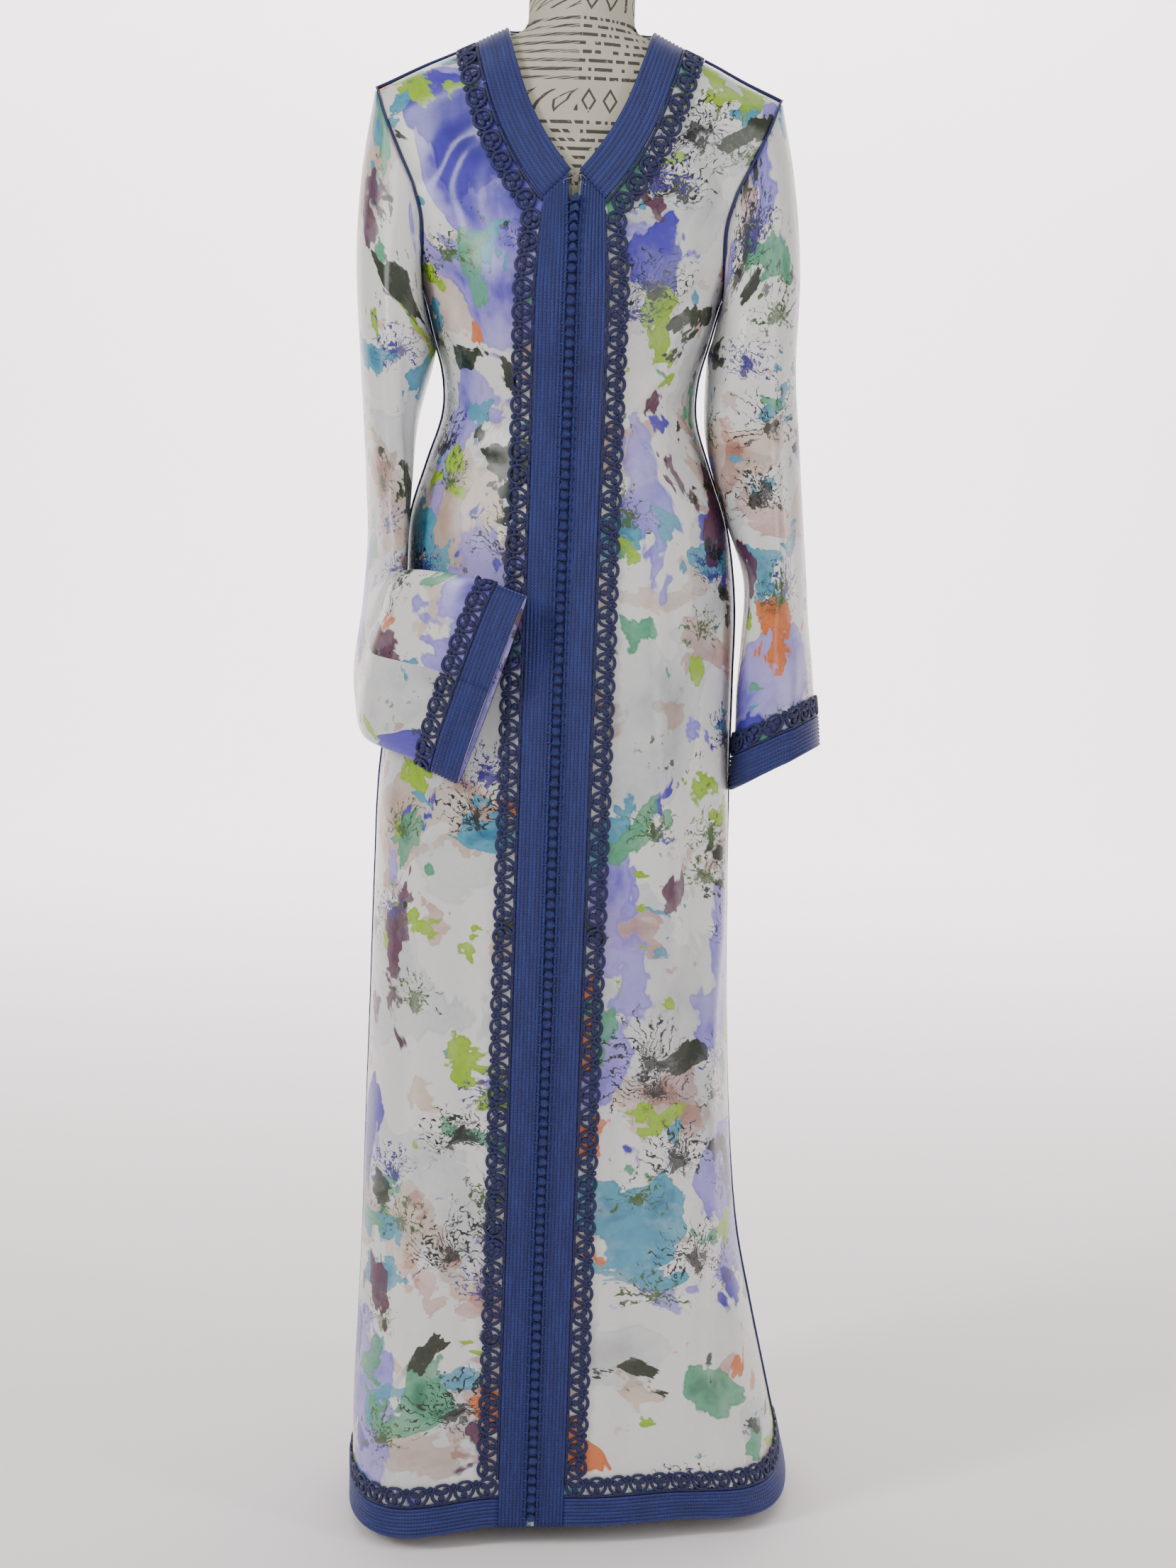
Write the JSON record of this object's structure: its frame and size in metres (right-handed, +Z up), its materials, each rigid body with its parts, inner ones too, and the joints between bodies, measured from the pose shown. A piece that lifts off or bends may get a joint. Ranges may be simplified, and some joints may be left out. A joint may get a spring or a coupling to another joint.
{
  "type": "moroccan kaftan on a dress form",
  "caption": "Long straight satin kaftan with braid and lace trims and a buttoned front, worn by a limbless dress form that stands on a pole with a round foot.",
  "frame": {"origin": "on the floor, at the middle of the round foot", "axes": "+Z up, -Y to the front of the kaftan, +X to the right in the picture"},
  "size_m": [0.4912, 0.3427, 1.6],
  "materials": {
    "satin": "printed satin",
    "braid": "ribbed silk braid",
    "lace": "corded ring lace",
    "piping": "cord",
    "hook": "plain",
    "form_cover": "plain cotton",
    "stand": "satin black"
  },
  "bodies": {
    "root": {"armhole_piping_left": "piping", "armhole_piping_right": "piping", "back": "satin", "button_row": "braid", "cuff_braid_left": "braid", "cuff_braid_right": "braid", "cuff_lace_left_back": "lace", "cuff_lace_left_front": "lace", "cuff_lace_right_back": "lace", "cuff_lace_right_front": "lace", "form_torso": "form_cover", "front_left": "satin", "front_right": "satin", "hem_braid": "braid", "hem_lace_back": "lace", "hem_lace_left": "lace", "hem_lace_right": "lace", "hook_and_eye": "hook", "neck_braid": "braid", "neck_lace_left": "lace", "neck_lace_right": "lace", "placket_braid_left": "braid", "placket_braid_right": "braid", "placket_lace_left": "lace", "placket_lace_right": "lace", "shoulder_piping_left": "piping", "shoulder_piping_right": "piping", "side_piping_left": "piping", "side_piping_right": "piping", "sleeve_left": "satin", "sleeve_right": "satin", "stand_foot": "stand", "stand_pole": "stand"}
  },
  "joints": []
}
